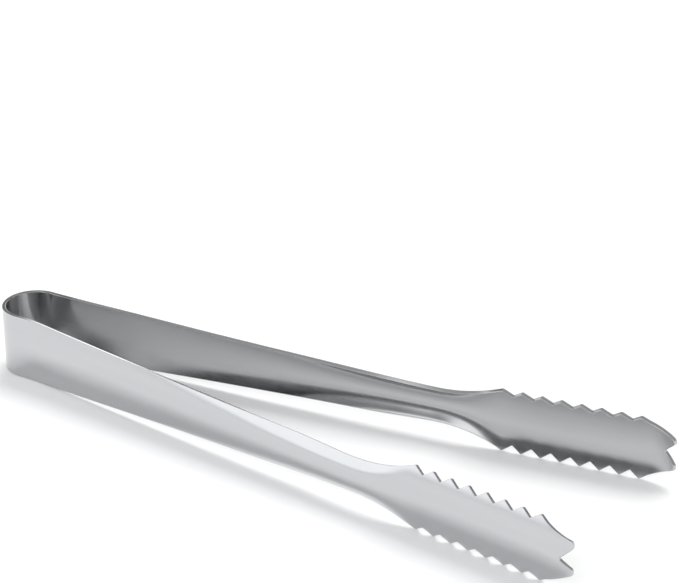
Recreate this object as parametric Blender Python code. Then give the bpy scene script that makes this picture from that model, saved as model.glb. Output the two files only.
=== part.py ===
"""Spring ice tongs: one strip of sheet steel, bent at its middle into a bow.

The strip leaves the bow as two splayed arms. Each arm is a shallow channel that narrows to a neck
and then widens into a hollow jaw with a row of teeth on both edges and two rounded lobes at its end.
+X runs from the bow to the jaws, +Y is the opening direction (left arm at +Y), +Z is the bend axis.
The tongs lie on their lower long edge, and the origin is the middle of their footprint.
The strip is cut where it flexes, so that each arm can turn about its own axis beside the bow.
"""
from math import cos, degrees, pi, radians, sin, sqrt

import bmesh
import bpy
from mathutils import Vector

MM = 0.001

# Driving dimensions, in millimetres, and angles in degrees.
LENGTH = 178.0            # overall, from the back of the bow to the ends of the jaws
STRIP_HALF_WIDTH = 8.7    # half the width of the strip at the bow, which is half the height
SHEET = 1.0               # thickness of the steel

BOW_RADIUS = 7.7          # of the middle of the sheet
BOW_TURN = 89.0           # from the middle of the bow to its end
SET_LENGTH = 5.5          # short outward bend behind the bow
ARM_HEADING = 7.15        # of the left arm, away from the middle plane
FLARE_HEADING = 5.2       # of the stretch where the arm widens into the jaw
JAW_HEADING = 7.7
SOFT_BEND = 6.0           # length of the slight bend on each side of the flare
CURL_LENGTH = 6.75        # end of the jaw that curls inwards
CURL_RADIUS = 11.9

NECK_HALF_WIDTH = 4.62
JAW_RADIUS = 20.0         # of the jaw's hollow cross section, in the middle of the sheet
TOOTH_COUNT = 8
TOOTH_PITCH = 5.0
TOOTH_DEPTH = 1.65
FLARE_RISE = 1.1          # of the flare over the last half tooth pitch before the first tip
TIP_ROUNDING = 0.38
VALLEY_ROUNDING = 0.3

# Places along the strip, as distances back from its end.
LAST_TOOTH = 9.2
FLARE_START = 61.6
NECK_CUT = 66.0

# Corners of the jaw's end, as distance back from the end and half width, and their rounding.
SHOULDER = (7.25, 7.3)
LOBE_APEX = (-0.95, 3.73)
NOTCH_APEX = (3.4, 0.0)
SHOULDER_ROUNDING = 2.5
LOBE_ROUNDING = 1.1
NOTCH_ROUNDING = 0.45

FLEX_ANGLE = 60.0         # of each flex axis round the bow, from its middle
CUT_GAP = 0.3             # between two neighbouring pieces of the strip

ARM_STEP = 3.2            # longest step between cross sections
BEND_STEP = 1.1           # the same round the bow
LANES = 5                 # faces from the middle of the strip to its edge
LAST_ROW_BACK = 2.0       # from the notch to where the last cross section leaves the middle line

STEEL_COLOUR = (0.62, 0.62, 0.63, 1.0)
STEEL_ROUGHNESS = 0.28

# The outer corners of the tooth tips reach as low as the edge of the bow, so the tongs lie flat.
TOOTH_HALF_WIDTH = STRIP_HALF_WIDTH * JAW_RADIUS / (JAW_RADIUS + SHEET / 2)
BOW_LENGTH = BOW_RADIUS * radians(BOW_TURN)
TEETH_LENGTH = (TOOTH_COUNT - 1) * TOOTH_PITCH
FLARE_LENGTH = FLARE_START - LAST_TOOTH - TEETH_LENGTH
END_HEADING = JAW_HEADING - degrees(CURL_LENGTH / CURL_RADIUS)


def bends(arm_run):
    """The strip's middle line, outwards from the bow: length and final heading of each stretch."""
    return [(BOW_LENGTH, 90.0 - BOW_TURN),
            (SET_LENGTH, ARM_HEADING),
            (arm_run, ARM_HEADING),
            (SOFT_BEND, FLARE_HEADING),
            (FLARE_LENGTH - SOFT_BEND, FLARE_HEADING),
            (SOFT_BEND, JAW_HEADING),
            (TEETH_LENGTH + LAST_TOOTH - SOFT_BEND / 2 - CURL_LENGTH, JAW_HEADING),
            (CURL_LENGTH, END_HEADING)]


def walk(distance, arm_run):
    """Place and heading of the middle line, that far along the strip from the middle of the bow."""
    x, y, heading = SHEET / 2, 0.0, pi / 2
    for length, final in bends(arm_run):
        step = min(distance, length)
        turn = (radians(final) - heading) * step / length
        chord = step if abs(turn) < 1e-9 else 2 * step / turn * sin(turn / 2)
        x += chord * cos(heading + turn / 2)
        y += chord * sin(heading + turn / 2)
        heading += turn
        distance -= step
        if distance <= 0:
            break
    return x, y, heading


def arc_sag(radius, height):
    """How far an arc of that radius falls away at that distance from its middle."""
    return radius - sqrt(radius ** 2 - height ** 2)


def arm_run_for_length():
    """Straight run of the arm that brings the outer face of the jaw's end to the overall length."""
    shortest = 1e-6
    whole = sum(length for length, _ in bends(shortest))
    x, _, heading = walk(whole, shortest)
    reach = x + (arc_sag(JAW_RADIUS, LOBE_APEX[1]) - SHEET / 2) * sin(heading)
    return (LENGTH - reach) / cos(radians(ARM_HEADING))


ARM_RUN = arm_run_for_length()
STRIP_END = sum(length for length, _ in bends(ARM_RUN))
FIRST_TOOTH = STRIP_END - LAST_TOOTH - TEETH_LENGTH
FLARE = STRIP_END - FLARE_START

# Distance along the strip and half width, from the bow to the neck.
TAPER = [(14.0, STRIP_HALF_WIDTH), (28.0, 8.18), (66.0, 6.55), (104.0, 5.24),
         (FLARE, NECK_HALF_WIDTH)]
# Distance along the strip and how far its middle line bulges outwards behind the bow.
BULGE = [(10.0, 0.0), (21.0, 0.62), (42.0, 0.22), (81.0, 0.0)]
# Distance along the strip and curvature of its cross section, one over the radius in millimetres.
CURVATURE = [(10.0, 0.0), (21.0, 0.031), (42.0, 0.034), (81.0, 0.0747), (FLARE, 0.1434),
             (FIRST_TOOTH, 1 / JAW_RADIUS)]


def through(knots, at):
    """A smooth curve through the knots, level at both ends."""
    at = min(max(at, knots[0][0]), knots[-1][0])
    slopes = [0.0]
    for before, after in zip(knots, knots[2:]):
        slopes.append((after[1] - before[1]) / (after[0] - before[0]))
    slopes.append(0.0)
    index = 0
    while at > knots[index + 1][0]:
        index += 1
    (start, low), (end, high) = knots[index], knots[index + 1]
    span = end - start
    t = (at - start) / span
    rise = low + (high - low) * t * t * (3 - 2 * t)
    return rise + span * t * (1 - t) * (slopes[index] * (1 - t) - slopes[index + 1] * t)


def half_width(distance):
    """Half the strip's width, with the teeth filled in."""
    if distance <= FLARE:
        return through(TAPER, distance)
    rise = TOOTH_HALF_WIDTH - NECK_HALF_WIDTH
    radius = (FLARE_LENGTH ** 2 + rise ** 2) / (2 * rise)
    return NECK_HALF_WIDTH + arc_sag(radius, min(distance, FIRST_TOOTH) - FLARE)


def strip_point(distance, height):
    """A point of the left half of the sheet's middle surface, in millimetres."""
    x, y, heading = walk(distance, ARM_RUN)
    curvature = through(CURVATURE, distance)
    sag = -through(BULGE, distance)
    if curvature > 0:
        sag += arc_sag(1 / curvature, height)
    return Vector((x + sag * sin(heading) - LENGTH / 2, y - sag * cos(heading), height))


def round_corner(before, corner, after, radius, steps):
    """Points of the arc that rounds a corner between two straight lines."""
    corner = Vector(corner)
    towards = (Vector(before) - corner).normalized()
    away = (Vector(after) - corner).normalized()
    half_angle = towards.angle(away) / 2
    centre = corner + (towards + away).normalized() * radius / sin(half_angle)
    start = corner + towards * radius * cos(half_angle) / sin(half_angle) - centre
    end = corner + away * radius * cos(half_angle) / sin(half_angle) - centre
    sweep = pi - 2 * half_angle
    return [centre + (start * sin(sweep * (1 - t)) + end * sin(sweep * t)) / sin(sweep)
            for t in (step / steps for step in range(steps + 1))]


def stations(start, end, longest):
    """Evenly spaced distances from start to end, no further apart than longest."""
    count = max(1, int((end - start) / longest + 0.999))
    return [start + (end - start) * index / count for index in range(count + 1)]


def plain_edge(start, end, longest):
    """Plain edge of the strip: each entry is an edge point and the distance on the middle line."""
    return [(distance, half_width(distance), distance) for distance in stations(start, end, longest)]


def toothed_edge():
    """The teeth and the valleys between them, up to the side of the last tooth's tip."""
    corners = [(FIRST_TOOTH - TOOTH_PITCH / 2, TOOTH_HALF_WIDTH - FLARE_RISE, None)]
    for tooth in range(TOOTH_COUNT):
        tip = FIRST_TOOTH + tooth * TOOTH_PITCH
        corners.append((tip, TOOTH_HALF_WIDTH, TIP_ROUNDING))
        corners.append((tip + TOOTH_PITCH / 2, TOOTH_HALF_WIDTH - TOOTH_DEPTH, VALLEY_ROUNDING))
    edge = []
    for before, corner, after in zip(corners, corners[1:], corners[2:]):
        arc = round_corner(before[:2], corner[:2], after[:2], corner[2], 1)
        edge += [(place, height, place) for place, height in arc]
    return edge[:-2]


def lobed_edge():
    """The end of the jaw: the last tooth's tip, the shoulder, one lobe and half of the notch."""
    tip = (STRIP_END - LAST_TOOTH, TOOTH_HALF_WIDTH)
    before = (tip[0] - TOOTH_PITCH / 2, TOOTH_HALF_WIDTH - TOOTH_DEPTH)
    shoulder, apex, notch = [(STRIP_END - back, height)
                             for back, height in (SHOULDER, LOBE_APEX, NOTCH_APEX)]
    below = (apex[0], -apex[1])
    outline = round_corner(before, tip, shoulder, TIP_ROUNDING, 1)
    outline += round_corner(tip, shoulder, apex, SHOULDER_ROUNDING, 1)
    outline.append(Vector(shoulder).lerp(Vector(apex), 0.5))
    outline += round_corner(shoulder, apex, notch, LOBE_ROUNDING, 4)
    outline += round_corner(apex, notch, below, NOTCH_ROUNDING, 2)[:2]
    outline[-1].y = 0.0
    first = outline[0].x
    last = outline[-1].x - LAST_ROW_BACK
    return [(point.x, point.y, first + (last - first) * index / (len(outline) - 1))
            for index, point in enumerate(outline)]


def strip_piece(name, edge, side, pivot):
    """One piece of the strip: half of its middle surface, mirrored and thickened."""
    shape = bmesh.new()
    rows = []
    for edge_distance, edge_height, middle_distance in edge:
        row = []
        for lane in range(LANES + 1):
            across = lane / LANES
            distance = middle_distance + (edge_distance - middle_distance) * across
            point = strip_point(abs(distance), edge_height * across)
            point.y *= side if distance >= 0 else -side
            row.append(shape.verts.new((point - pivot) * MM))
        rows.append(row)
    for near, far in zip(rows, rows[1:]):
        for lane in range(LANES):
            corners = [near[lane], far[lane], far[lane + 1], near[lane + 1]]
            shape.faces.new(corners if side > 0 else corners[::-1])
    mesh = bpy.data.meshes.new(name)
    shape.to_mesh(mesh)
    shape.free()
    mesh.shade_smooth()
    mesh.materials.append(steel(name + "_steel"))

    piece = bpy.data.objects.new(name, mesh)
    piece.location = (pivot + Vector((0, 0, STRIP_HALF_WIDTH))) * MM
    bpy.context.collection.objects.link(piece)
    mirror = piece.modifiers.new("lower half", "MIRROR")
    mirror.use_axis = (False, False, True)
    mirror.merge_threshold = 0.00001
    thick = piece.modifiers.new("sheet", "SOLIDIFY")
    thick.thickness = SHEET * MM
    thick.offset = 0.0
    thick.use_even_offset = True


def steel(name):
    material = bpy.data.materials.new(name)
    material.use_nodes = True
    shader = material.node_tree.nodes["Principled BSDF"]
    shader.inputs["Base Color"].default_value = STEEL_COLOUR
    shader.inputs["Metallic"].default_value = 1.0
    shader.inputs["Roughness"].default_value = STEEL_ROUGHNESS
    return material


def build():
    for old in list(bpy.data.objects):
        bpy.data.objects.remove(old, do_unlink=True)

    flex = BOW_RADIUS * radians(FLEX_ANGLE)
    set_end = BOW_LENGTH + SET_LENGTH
    neck = STRIP_END - NECK_CUT
    half_gap = CUT_GAP / 2
    bow_middle = Vector((SHEET / 2 - LENGTH / 2, 0, 0))
    strip_piece("spring_bow", plain_edge(half_gap - flex, flex - half_gap, BEND_STEP), 1, bow_middle)

    for word, side in (("left", 1), ("right", -1)):
        flex_axis = strip_point(flex, 0.0)
        flex_axis.y *= side
        arm = plain_edge(flex + half_gap, set_end, BEND_STEP)
        arm += plain_edge(set_end, neck - half_gap, ARM_STEP)[1:]
        strip_piece(word + "_arm", arm, side, flex_axis)
        jaw = plain_edge(neck + half_gap, FIRST_TOOTH, ARM_STEP)[:-1] + toothed_edge() + lobed_edge()
        strip_piece(word + "_jaw", jaw, side, flex_axis)


build()
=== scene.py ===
from math import cos, degrees, pi, radians, sin, sqrt

import bpy
from mathutils import Matrix, Vector

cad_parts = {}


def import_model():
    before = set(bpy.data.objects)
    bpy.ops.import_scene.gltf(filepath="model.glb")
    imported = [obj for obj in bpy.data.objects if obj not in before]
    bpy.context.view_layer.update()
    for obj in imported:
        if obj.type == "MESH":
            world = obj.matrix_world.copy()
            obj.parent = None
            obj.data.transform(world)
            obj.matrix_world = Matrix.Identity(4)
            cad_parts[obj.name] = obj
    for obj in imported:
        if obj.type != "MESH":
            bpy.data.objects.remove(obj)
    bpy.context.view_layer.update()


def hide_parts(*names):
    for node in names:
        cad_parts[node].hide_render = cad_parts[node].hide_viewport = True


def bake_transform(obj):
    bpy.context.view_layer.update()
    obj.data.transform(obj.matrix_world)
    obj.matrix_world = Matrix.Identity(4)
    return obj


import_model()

MM = 0.001

# The strip's dimensions, the same as the CAD's, in millimetres and degrees. FLARE_RISE is the flare's
# rise over the last half tooth pitch. SHOULDER, LOBE_APEX and NOTCH_APEX are distances back from the
# strip's end and heights. BEND_START and BEND_END are X and Y of the places between which the left
# half turns with its arm.
LENGTH = 178.0
STRIP_HALF_WIDTH = 8.7
SHEET = 1.0
BOW_RADIUS = 7.7
BOW_TURN = 89.0
SET_LENGTH = 5.5
ARM_HEADING = 7.15
FLARE_HEADING = 5.2
JAW_HEADING = 7.7
SOFT_BEND = 6.0
CURL_LENGTH = 6.75
CURL_RADIUS = 11.9
NECK_HALF_WIDTH = 4.62
JAW_RADIUS = 20.0
TOOTH_COUNT = 8
TOOTH_PITCH = 5.0
TOOTH_DEPTH = 1.65
FLARE_RISE = 1.1
TIP_ROUNDING = 0.38
VALLEY_ROUNDING = 0.3
LAST_TOOTH = 9.2
FLARE_START = 61.6
SHOULDER = (7.25, 7.3)
LOBE_APEX = (-0.95, 3.73)
NOTCH_APEX = (3.4, 0.0)
SHOULDER_ROUNDING = 2.5
LOBE_ROUNDING = 1.1
NOTCH_ROUNDING = 0.45

# How finely the strip is meshed. The steps are the longest distances between cross sections.
LANES = 14                # faces from the middle of the strip to its edge
BOW_STEP = 0.35
ARM_STEP = 1.2
FLARE_STEP = 0.7
TOOTH_STEP = 0.7
LOBE_STEP = 0.6
TIP_STEPS = 6             # faces round a tooth's tip or valley
SHOULDER_STEPS = 4
LOBE_STEPS = 16
NOTCH_STEPS = 10
FLARE_GAP = 0.35          # from the last cross section of the flare to the first tooth's tip
LAST_ROW_BACK = 2.0       # from the notch to where the last cross section leaves the middle of the strip
PROBE = 0.02              # between the points that give the surface's direction
EDGE_ROUNDING = 0.16      # of the cut edges' corners
EDGE_ARC = (0, 18, 36, 54, 72, 90)

TOOTH_HALF_WIDTH = STRIP_HALF_WIDTH * JAW_RADIUS / (JAW_RADIUS + SHEET / 2)
BOW_LENGTH = BOW_RADIUS * radians(BOW_TURN)
TEETH_LENGTH = (TOOTH_COUNT - 1) * TOOTH_PITCH
FLARE_LENGTH = FLARE_START - LAST_TOOTH - TEETH_LENGTH
END_HEADING = JAW_HEADING - degrees(CURL_LENGTH / CURL_RADIUS)


def bends(arm_run):
    """The strip's middle line, outwards from the bow: length and final heading of each stretch."""
    return [(BOW_LENGTH, 90.0 - BOW_TURN),
            (SET_LENGTH, ARM_HEADING),
            (arm_run, ARM_HEADING),
            (SOFT_BEND, FLARE_HEADING),
            (FLARE_LENGTH - SOFT_BEND, FLARE_HEADING),
            (SOFT_BEND, JAW_HEADING),
            (TEETH_LENGTH + LAST_TOOTH - SOFT_BEND / 2 - CURL_LENGTH, JAW_HEADING),
            (CURL_LENGTH, END_HEADING)]


def walk(distance, arm_run):
    """Place and heading of the middle line, that far along the strip from the middle of the bow."""
    x, y, heading = SHEET / 2, 0.0, pi / 2
    for length, final in bends(arm_run):
        step = min(distance, length)
        turn = (radians(final) - heading) * step / length
        chord = step if abs(turn) < 1e-9 else 2 * step / turn * sin(turn / 2)
        x += chord * cos(heading + turn / 2)
        y += chord * sin(heading + turn / 2)
        heading += turn
        distance -= step
        if distance <= 0:
            break
    return x, y, heading


def arc_sag(radius, height):
    """How far an arc of that radius falls away at that distance from its middle."""
    return radius - sqrt(radius ** 2 - height ** 2)


def arm_run_for_length():
    """Straight run of the arm that brings the outer face of the jaw's end to the overall length."""
    shortest = 1e-6
    whole = sum(length for length, _ in bends(shortest))
    x, _, heading = walk(whole, shortest)
    reach = x + (arc_sag(JAW_RADIUS, LOBE_APEX[1]) - SHEET / 2) * sin(heading)
    return (LENGTH - reach) / cos(radians(ARM_HEADING))


ARM_RUN = arm_run_for_length()
STRIP_END = sum(length for length, _ in bends(ARM_RUN))
FIRST_TOOTH = STRIP_END - LAST_TOOTH - TEETH_LENGTH
FLARE = STRIP_END - FLARE_START

# Distance along the strip and half width, from the bow to the neck.
TAPER = [(14.0, STRIP_HALF_WIDTH), (28.0, 8.18), (66.0, 6.55), (104.0, 5.24),
         (FLARE, NECK_HALF_WIDTH)]
# Distance along the strip and how far its middle line bulges outwards behind the bow.
BULGE = [(10.0, 0.0), (21.0, 0.62), (42.0, 0.22), (81.0, 0.0)]
# Distance along the strip and curvature of its cross section, one over the radius in millimetres.
CURVATURE = [(10.0, 0.0), (21.0, 0.031), (42.0, 0.034), (81.0, 0.0747), (FLARE, 0.1434),
             (FIRST_TOOTH, 1 / JAW_RADIUS)]


def through(knots, at):
    """A smooth curve through the knots, level at both ends."""
    at = min(max(at, knots[0][0]), knots[-1][0])
    slopes = [0.0]
    for before, after in zip(knots, knots[2:]):
        slopes.append((after[1] - before[1]) / (after[0] - before[0]))
    slopes.append(0.0)
    index = 0
    while at > knots[index + 1][0]:
        index += 1
    (start, low), (end, high) = knots[index], knots[index + 1]
    span = end - start
    t = (at - start) / span
    rise = low + (high - low) * t * t * (3 - 2 * t)
    return rise + span * t * (1 - t) * (slopes[index] * (1 - t) - slopes[index + 1] * t)


def half_width(distance):
    """Half the strip's width, with the teeth filled in."""
    if distance <= FLARE:
        return through(TAPER, distance)
    rise = TOOTH_HALF_WIDTH - NECK_HALF_WIDTH
    radius = (FLARE_LENGTH ** 2 + rise ** 2) / (2 * rise)
    return NECK_HALF_WIDTH + arc_sag(radius, min(distance, FIRST_TOOTH) - FLARE)


def strip_point(distance, height):
    """A point of the left half of the sheet's middle surface, height above the middle line."""
    x, y, heading = walk(distance, ARM_RUN)
    curvature = through(CURVATURE, distance)
    sag = -through(BULGE, distance)
    if curvature > 0:
        sag += arc_sag(1 / curvature, height)
    return Vector((x + sag * sin(heading) - LENGTH / 2, y - sag * cos(heading), height))


def outwards(distance, height):
    """The direction out of the tongs, square to the sheet."""
    along = strip_point(distance + PROBE, height) - strip_point(distance - PROBE, height)
    across = strip_point(distance, height + PROBE) - strip_point(distance, height - PROBE)
    return across.cross(along).normalized()


def round_corner(before, corner, after, radius, steps):
    """Points of the arc that rounds a corner between two straight lines."""
    corner = Vector(corner)
    towards = (Vector(before) - corner).normalized()
    away = (Vector(after) - corner).normalized()
    half_angle = towards.angle(away) / 2
    centre = corner + (towards + away).normalized() * radius / sin(half_angle)
    start = corner + towards * radius * cos(half_angle) / sin(half_angle) - centre
    end = corner + away * radius * cos(half_angle) / sin(half_angle) - centre
    sweep = pi - 2 * half_angle
    return [centre + (start * sin(sweep * (1 - t)) + end * sin(sweep * t)) / sin(sweep)
            for t in (step / steps for step in range(steps + 1))]


def filled(points, longest):
    """The same outline with points added where two neighbours are further apart than that."""
    outline = [points[0]]
    for before, after in zip(points, points[1:]):
        count = max(1, round((after - before).length / longest))
        outline += [before.lerp(after, step / count) for step in range(1, count + 1)]
    return outline


def stations(start, end, longest):
    """Evenly spaced distances from start to end, no further apart than longest."""
    count = max(1, int((end - start) / longest + 0.999))
    return [start + (end - start) * index / count for index in range(count + 1)]


def plain_edge(start, end, longest):
    """A stretch of the edge: distance and height on it, and distance on the middle line."""
    return [(distance, half_width(distance), distance) for distance in stations(start, end, longest)]


def toothed_edge():
    """The teeth and the valleys between them, up to the side of the last tooth's tip."""
    corners = [(FIRST_TOOTH - TOOTH_PITCH / 2, TOOTH_HALF_WIDTH - FLARE_RISE, None)]
    for tooth in range(TOOTH_COUNT):
        tip = FIRST_TOOTH + tooth * TOOTH_PITCH
        corners.append((tip, TOOTH_HALF_WIDTH, TIP_ROUNDING))
        corners.append((tip + TOOTH_PITCH / 2, TOOTH_HALF_WIDTH - TOOTH_DEPTH, VALLEY_ROUNDING))
    outline = []
    for before, corner, after in zip(corners, corners[1:], corners[2:]):
        outline += round_corner(before[:2], corner[:2], after[:2], corner[2], TIP_STEPS)
    last_valley = TIP_STEPS + 1
    outline = filled(outline[:-last_valley], TOOTH_STEP)
    return [(point.x, point.y, point.x) for point in outline]


def lobed_edge():
    """The end of the jaw: the last tooth's tip, the shoulder, one lobe and half of the notch."""
    tip = (STRIP_END - LAST_TOOTH, TOOTH_HALF_WIDTH)
    before = (tip[0] - TOOTH_PITCH / 2, TOOTH_HALF_WIDTH - TOOTH_DEPTH)
    shoulder, apex, notch = [(STRIP_END - back, height)
                             for back, height in (SHOULDER, LOBE_APEX, NOTCH_APEX)]
    below = (apex[0], -apex[1])
    outline = round_corner(before, tip, shoulder, TIP_ROUNDING, TIP_STEPS)
    outline += round_corner(tip, shoulder, apex, SHOULDER_ROUNDING, SHOULDER_STEPS)
    outline += round_corner(shoulder, apex, notch, LOBE_ROUNDING, LOBE_STEPS)
    outline += round_corner(apex, notch, below, NOTCH_ROUNDING, NOTCH_STEPS)[:NOTCH_STEPS // 2 + 1]
    outline[-1].y = 0.0
    outline = filled(outline, LOBE_STEP)
    first = outline[0].x
    last = outline[-1].x - LAST_ROW_BACK
    return [(point.x, point.y, first + (last - first) * index / (len(outline) - 1))
            for index, point in enumerate(outline)]


def cut_edge(rim, normal, away, distance, height):
    """The rounded cut edge at one place of the strip's rim, from the outer face to the inner face."""
    turns = [(1, angle) for angle in EDGE_ARC] + [(-1, angle) for angle in reversed(EDGE_ARC)]
    entries = []
    for side, angle in turns:
        facing = normal * side * cos(radians(angle)) + away * sin(radians(angle))
        centre = rim + normal * side * (SHEET / 2 - EDGE_ROUNDING) - away * EDGE_ROUNDING
        layer = side * (1.0 - angle / 90.0)
        entries.append((centre + facing * EDGE_ROUNDING, facing, (distance, height, layer)))
    return entries


def strip_rows():
    """Cross sections of the left half's upper side, each from the outer face over the edge to the inner.

    Each entry is a place, the direction that the surface faces there, and what the steel's material
    reads: distance along the strip, height on it, and 1 on the outer face, 0 on the cut edge, -1 inside.
    """
    edge = plain_edge(0.0, BOW_LENGTH + SET_LENGTH, BOW_STEP)[:-1]
    edge += plain_edge(BOW_LENGTH + SET_LENGTH, FLARE, ARM_STEP)[:-1]
    edge += plain_edge(FLARE, FIRST_TOOTH - FLARE_GAP, FLARE_STEP)
    edge += toothed_edge() + lobed_edge()
    line = [strip_point(distance, height) for distance, height, _ in edge]
    line_before = Vector((line[1].x, -line[1].y, line[1].z))
    line_after = Vector((line[-2].x, line[-2].y, -line[-2].z))
    neighbours = zip([line_before] + line, line[1:] + [line_after])

    rows = []
    for (distance, height, middle_distance), rim, (before, after) in zip(edge, line, neighbours):
        normal = outwards(distance, height)
        away = (after - before).cross(normal).normalized()
        outer, inner = [], []
        for lane in range(LANES):
            share = lane / LANES
            lane_distance = middle_distance + (distance - middle_distance) * share
            lane_height = height * share
            place = strip_point(lane_distance, lane_height)
            facing = outwards(lane_distance, lane_height)
            outer.append((place + facing * SHEET / 2, facing, (lane_distance, lane_height, 1.0)))
            inner.append((place - facing * SHEET / 2, -facing, (lane_distance, lane_height, -1.0)))
        rows.append(outer + cut_edge(rim, normal, away, distance, height) + inner[::-1])
    return rows


def strip_half(name, rows, side):
    """One half of the strip as a closed mesh: the rows and their mirror image below the middle line."""
    places, normals, coordinates = [], [], []

    def vertex(entry, above):
        place, normal, (distance, height, layer) = entry
        places.append((place.x, place.y * side, place.z * above + STRIP_HALF_WIDTH))
        normals.append((normal.x, normal.y * side, normal.z * above))
        coordinates.append((distance, height * above, layer))
        return len(places) - 1

    upper, lower = [], []
    for row in rows:
        above = [vertex(entry, 1) for entry in row]
        below = [above[0]] + [vertex(entry, -1) for entry in row[1:-1]] + [above[-1]]
        if row is rows[-1]:
            below = above
        upper.append(above)
        lower.append(below)

    faces = []
    for band, flip in ((upper, side > 0), (lower, side < 0)):
        for near, far in zip(band, band[1:]):
            for low in range(len(near) - 1):
                corners = [near[low], far[low], far[low + 1], near[low + 1]]
                faces.append(corners[::-1] if flip else corners)
    cap = upper[0] + lower[0][-2:0:-1]
    faces.append(cap if side > 0 else cap[::-1])

    mesh = bpy.data.meshes.new(name)
    mesh.from_pydata([Vector(place) * MM for place in places], [], faces)
    mesh.validate()
    place_on_strip = mesh.attributes.new("strip_place", "FLOAT_VECTOR", "POINT")
    place_on_strip.data.foreach_set("vector", [number for entry in coordinates for number in entry])
    mesh.shade_smooth()
    mesh.normals_split_custom_set_from_vertices(normals)
    half = bpy.data.objects.new(name, mesh)
    bpy.context.scene.collection.objects.link(half)
    return half


# ---------------------------------------------------------------- materials

def new_node(tree, kind, **settings):
    made = tree.nodes.new(kind)
    for key, value in settings.items():
        setattr(made, key, value)
    return made


def mapped(tree, value, low, high, to_low, to_high, smooth=False):
    """value mapped from low..high to to_low..to_high and held there outside."""
    made = new_node(tree, "ShaderNodeMapRange", interpolation_type="SMOOTHSTEP" if smooth else "LINEAR")
    made.inputs["From Min"].default_value = low
    made.inputs["From Max"].default_value = high
    made.inputs["To Min"].default_value = to_low
    made.inputs["To Max"].default_value = to_high
    tree.links.new(value, made.inputs["Value"])
    return made.outputs["Result"]


def worked_out(tree, operation, *values):
    """One step of arithmetic on numbers and node outputs."""
    made = new_node(tree, "ShaderNodeMath", operation=operation)
    for value, socket in zip(values, made.inputs):
        if isinstance(value, float):
            socket.default_value = value
        else:
            tree.links.new(value, socket)
    return made.outputs["Value"]


def scaled_vector(tree, vector, scale):
    made = new_node(tree, "ShaderNodeVectorMath", operation="MULTIPLY")
    made.inputs[1].default_value = scale
    tree.links.new(vector, made.inputs[0])
    return made.outputs["Vector"]


def third_part(tree, vector):
    made = new_node(tree, "ShaderNodeSeparateXYZ")
    tree.links.new(vector, made.inputs[0])
    return made.outputs["Z"]


def noise(tree, place, stretch, scale, detail):
    made = new_node(tree, "ShaderNodeTexNoise", noise_dimensions="3D")
    made.inputs["Scale"].default_value = scale
    made.inputs["Detail"].default_value = detail
    tree.links.new(scaled_vector(tree, place, stretch), made.inputs["Vector"])
    return made.outputs["Fac"]


def mixed(tree, share, first, second):
    """A colour that goes from first to second as share goes from 0 to 1."""
    made = new_node(tree, "ShaderNodeMix", data_type="RGBA")
    for value, socket in ((first, made.inputs["A"]), (second, made.inputs["B"])):
        if isinstance(value, tuple):
            socket.default_value = (*value, 1.0)
        else:
            tree.links.new(value, socket)
    tree.links.new(share, made.inputs["Factor"])
    return made.outputs["Result"]


OUTSIDE_TONES = ((0.52, 0.53, 0.545), (0.56, 0.568, 0.578))
# The inner face's tones are darker than the outer face's: painted shade for the inside of the tongs,
# between the arms and in the bow.
INSIDE_PAINTED_SHADE_TONES = ((0.43, 0.435, 0.445), (0.47, 0.475, 0.48))
CUT_TONE = (0.49, 0.495, 0.50)
# Noise on the strip: stretch of its distance, height and layer, then scale and detail.
GRAIN = ((0.05, 2.4, 3.0), 1.7, 7.0)
STREAKS = ((0.02, 0.55, 3.0), 1.0, 3.0)
SMEARS = ((0.10, 0.22, 3.0), 1.0, 4.0)
GRAIN_ROUGHNESS = (0.085, 0.125)
SMEAR_ROUGHNESS = 0.07    # added at the most
INSIDE_ROUGHNESS = 0.03   # added on the inner face
CUT_ROUGHNESS = 0.04      # added on the cut edges
GRAIN_BUMP = 0.12
GRAIN_DEPTH = 0.01 * MM


def polished_steel():
    """Polished stainless sheet: rolling grain along the strip, a darker base colour on the inner face
    that paints the shade inside the tongs, between the arms and in the bow, a little rougher inside, and
    duller on the cut edges.
    """
    material = bpy.data.materials.new("polished_stainless")
    material.use_nodes = True
    tree = material.node_tree
    link = tree.links.new
    shader = tree.nodes["Principled BSDF"]
    shader.inputs["Metallic"].default_value = 1.0

    place = new_node(tree, "ShaderNodeAttribute", attribute_name="strip_place").outputs["Vector"]
    # The layer is 1 on the outer face, 0 on the cut edge and -1 on the inner face.
    layer = third_part(tree, place)
    inside = mapped(tree, layer, 0.4, -0.4, 0.0, 1.0)
    cut = mapped(tree, worked_out(tree, "ABSOLUTE", layer), 0.75, 0.25, 0.0, 1.0, smooth=True)

    # The noises keep mostly between 0.3 and 0.7.
    grain = noise(tree, place, *GRAIN)
    streaks = noise(tree, place, *STREAKS)
    smears = noise(tree, place, *SMEARS)

    outer = mixed(tree, streaks, *OUTSIDE_TONES)
    # Painted shade: the inner face takes darker tones than the outer face.
    inner = mixed(tree, streaks, *INSIDE_PAINTED_SHADE_TONES)
    link(mixed(tree, cut, mixed(tree, inside, outer, inner), CUT_TONE), shader.inputs["Base Color"])

    # Smears show only where their noise is high, so they are patches.
    roughness = mapped(tree, grain, 0.3, 0.7, *GRAIN_ROUGHNESS)
    for more in (mapped(tree, smears, 0.45, 0.75, 0.0, SMEAR_ROUGHNESS),
                 mapped(tree, inside, 0.0, 1.0, 0.0, INSIDE_ROUGHNESS),
                 mapped(tree, cut, 0.0, 1.0, 0.0, CUT_ROUGHNESS)):
        roughness = worked_out(tree, "ADD", roughness, more)
    link(roughness, shader.inputs["Roughness"])

    bump = new_node(tree, "ShaderNodeBump")
    bump.inputs["Strength"].default_value = GRAIN_BUMP
    bump.inputs["Distance"].default_value = GRAIN_DEPTH
    link(grain, bump.inputs["Height"])
    link(bump.outputs["Normal"], shader.inputs["Normal"])
    return material


# ---------------------------------------------------------------- the tongs


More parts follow.
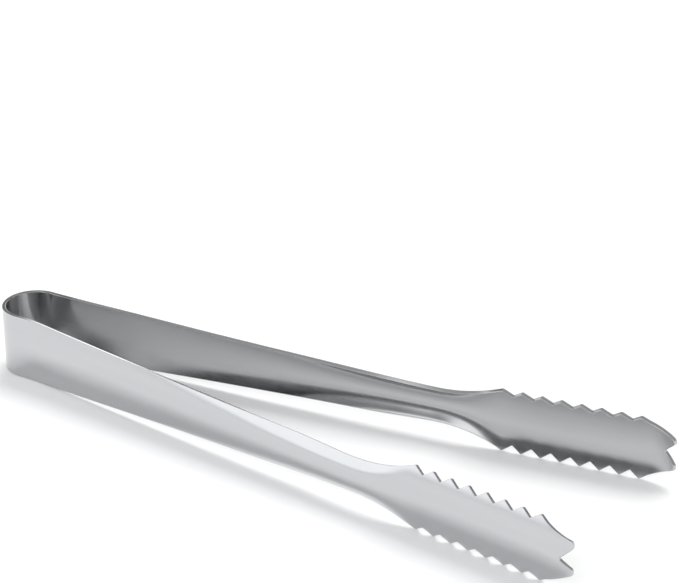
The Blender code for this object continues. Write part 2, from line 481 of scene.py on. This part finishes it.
def tongs():
    """Both halves of the strip. Each stands for its arm and jaw, and the two together for the bow."""
    rows = strip_rows()
    steel = polished_steel()
    for word, side in (("left", 1), ("right", -1)):
        half = strip_half(word + "_half_of_strip", rows, side)
        half.data.materials.append(steel)
        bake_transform(half)
        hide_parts("spring_bow", word + "_arm", word + "_jaw")


# ---------------------------------------------------------------- floor, camera and light

FLOOR_REACH = 4.0
FLOOR_DROP = 0.00005      # below the tongs, so that the faces don't touch
FLOOR_TONE = (0.92, 0.92, 0.92)
FLOOR_ROUGHNESS = 0.9


def direction(azimuth, elevation):
    """The direction towards a place round the tongs. Azimuth 0 is -Y and 90 is +X."""
    azimuth, elevation = radians(azimuth), radians(elevation)
    return Vector((sin(azimuth) * cos(elevation), -cos(azimuth) * cos(elevation), sin(elevation)))


def floor():
    corners = [(-1, -1), (1, -1), (1, 1), (-1, 1)]
    mesh = bpy.data.meshes.new("floor")
    mesh.from_pydata([(x * FLOOR_REACH, y * FLOOR_REACH, 0.0) for x, y in corners], [], [(0, 1, 2, 3)])
    plane = bpy.data.objects.new("floor", mesh)
    plane.location.z = -FLOOR_DROP
    bpy.context.scene.collection.objects.link(plane)
    material = bpy.data.materials.new("pale_floor")
    material.use_nodes = True
    shader = material.node_tree.nodes["Principled BSDF"]
    shader.inputs["Base Color"].default_value = (*FLOOR_TONE, 1.0)
    shader.inputs["Roughness"].default_value = FLOOR_ROUGHNESS
    shader.inputs["Specular IOR Level"].default_value = 0.0
    mesh.materials.append(material)


CAMERA_AZIMUTH = 31.825
CAMERA_ELEVATION = 26.363
CAMERA_ROLL = -0.714
CAMERA_DISTANCE = 0.62564
CAMERA_LENS = 135.6
CAMERA_SENSOR = 36.0
CAMERA_NEAR = 0.01
CAMERA_FAR = 50.0
# A point of the tongs, and how far it lies right of and above the middle of the picture, in metres.
FRAMED_POINT = Vector((0.00279, 0.0, 0.0087))
FRAMED_RIGHT = -0.00769
FRAMED_UP = -0.02971


def camera():
    back = direction(CAMERA_AZIMUTH, CAMERA_ELEVATION)
    level = Vector((0.0, 0.0, 1.0)).cross(back).normalized()
    upright = back.cross(level)
    roll = radians(CAMERA_ROLL)
    right = level * cos(roll) + upright * sin(roll)
    up = upright * cos(roll) - level * sin(roll)
    data = bpy.data.cameras.new("camera")
    data.sensor_width = CAMERA_SENSOR
    data.lens = CAMERA_LENS
    data.clip_start = CAMERA_NEAR
    data.clip_end = CAMERA_FAR
    eye = bpy.data.objects.new("camera", data)
    place = FRAMED_POINT - right * FRAMED_RIGHT - up * FRAMED_UP + back * CAMERA_DISTANCE
    turn = Matrix((right, up, back)).transposed().to_4x4()
    eye.matrix_world = Matrix.Translation(place) @ turn
    bpy.context.scene.collection.objects.link(eye)
    bpy.context.scene.camera = eye


# The light tent round the tongs, which the steel mirrors: brightness of its roof and of its wall at
# the horizon, and the elevation in degrees at which the wall has become the roof.
TENT_ABOVE = 0.54
TENT_HORIZON = 1.13
HORIZON_TOP = 30.0
TENT_COLOUR = (0.985, 0.99, 1.0)
# Panels of the tent: azimuth of the middle, half the width, lowest and highest elevation, softness
# of the border, all in degrees, and brightness. A later panel covers an earlier one.
PANELS = {"front_left": (-78.0, 43.0, 4.0, 44.0, 4.0, 1.62),
          "front_right": (14.0, 27.0, 4.0, 46.0, 5.0, 1.75),
          "front_gap": (-24.0, 9.0, 8.0, 38.0, 3.0, 0.34),
          "front_top": (-14.0, 14.0, 41.0, 60.0, 3.0, 1.80),
          "back_slot": (-156.0, 8.0, -8.0, 32.0, 4.0, 2.30),
          "back_top": (-174.0, 8.0, 36.0, 62.0, 4.0, 1.40),
          "dark_back": (164.0, 24.0, 14.0, 44.0, 5.0, 0.42),
          "dark_back_low": (164.0, 24.0, 4.0, 12.0, 3.0, 0.22),
          "dark_back_left": (-122.0, 20.0, 12.0, 50.0, 5.0, 0.24),
          "dark_back_high": (156.0, 12.0, 27.0, 55.0, 3.0, 0.05)}


def tent_panel(tree, level, height, beneath, panel):
    """Adds one panel over the tent's brightness so far and gives the new brightness.

    level is the direction seen, brought down to the horizon, and height is the sine of its elevation.
    """
    azimuth, half_width, low, high, soft, brightness = panel
    towards = new_node(tree, "ShaderNodeVectorMath", operation="DOT_PRODUCT")
    towards.inputs[1].default_value = direction(azimuth, 0.0)
    tree.links.new(level, towards.inputs[0])
    alike = towards.outputs["Value"]
    borders = [(alike, cos(radians(half_width + soft)), cos(radians(half_width - soft))),
               (height, sin(radians(low - soft)), sin(radians(low + soft))),
               (height, sin(radians(high + soft)), sin(radians(high - soft)))]
    sides, bottom, top = [mapped(tree, value, outside, inside, 0.0, 1.0, smooth=True)
                          for value, outside, inside in borders]
    cover = worked_out(tree, "MULTIPLY", worked_out(tree, "MULTIPLY", sides, bottom), top)
    over = new_node(tree, "ShaderNodeMix", data_type="FLOAT")
    over.inputs["B"].default_value = brightness
    tree.links.new(cover, over.inputs["Factor"])
    tree.links.new(beneath, over.inputs["A"])
    return over.outputs["Result"]


def world():
    scene = bpy.context.scene
    scene.world = bpy.data.worlds.new("light_tent")
    scene.world.use_nodes = True
    tree = scene.world.node_tree
    background = tree.nodes["Background"]
    background.inputs["Color"].default_value = (*TENT_COLOUR, 1.0)
    seen = new_node(tree, "ShaderNodeTexCoord").outputs["Generated"]
    level = new_node(tree, "ShaderNodeVectorMath", operation="NORMALIZE")
    tree.links.new(scaled_vector(tree, seen, (1.0, 1.0, 0.0)), level.inputs[0])
    height = third_part(tree, seen)
    roof = sin(radians(HORIZON_TOP))
    brightness = mapped(tree, height, 0.0, roof, TENT_HORIZON, TENT_ABOVE, smooth=True)
    for panel in PANELS.values():
        brightness = tent_panel(tree, level.outputs["Vector"], height, brightness, panel)
    tree.links.new(brightness, background.inputs["Strength"])
    scene.view_settings.view_transform = "Standard"


# Softboxes, which light the floor and don't show in the steel: place and the point it faces in
# metres, size and power. One hangs high behind the tongs, the other lights the floor in front of
# them that the outer faces mirror.
SOFTBOXES = {"key": (direction(180.0, 60.0) * 3.0, (0.0, 0.0, 0.0), (2.40, 1.50), 57.0),
             "front_floor": (Vector((-1.2, -1.5, 1.0)), (-1.2, -1.5, 0.0), (1.2, 1.2), 4.0)}


def lights():
    for name, (place, target, size, power) in SOFTBOXES.items():
        data = bpy.data.lights.new(name, "AREA")
        data.shape = "RECTANGLE"
        data.size, data.size_y = size
        data.energy = power
        light = bpy.data.objects.new(name, data)
        light.location = place
        light.rotation_euler = (place - Vector(target)).to_track_quat("Z", "Y").to_euler()
        light.visible_glossy = False
        bpy.context.scene.collection.objects.link(light)


tongs()
floor()
camera()
world()
lights()
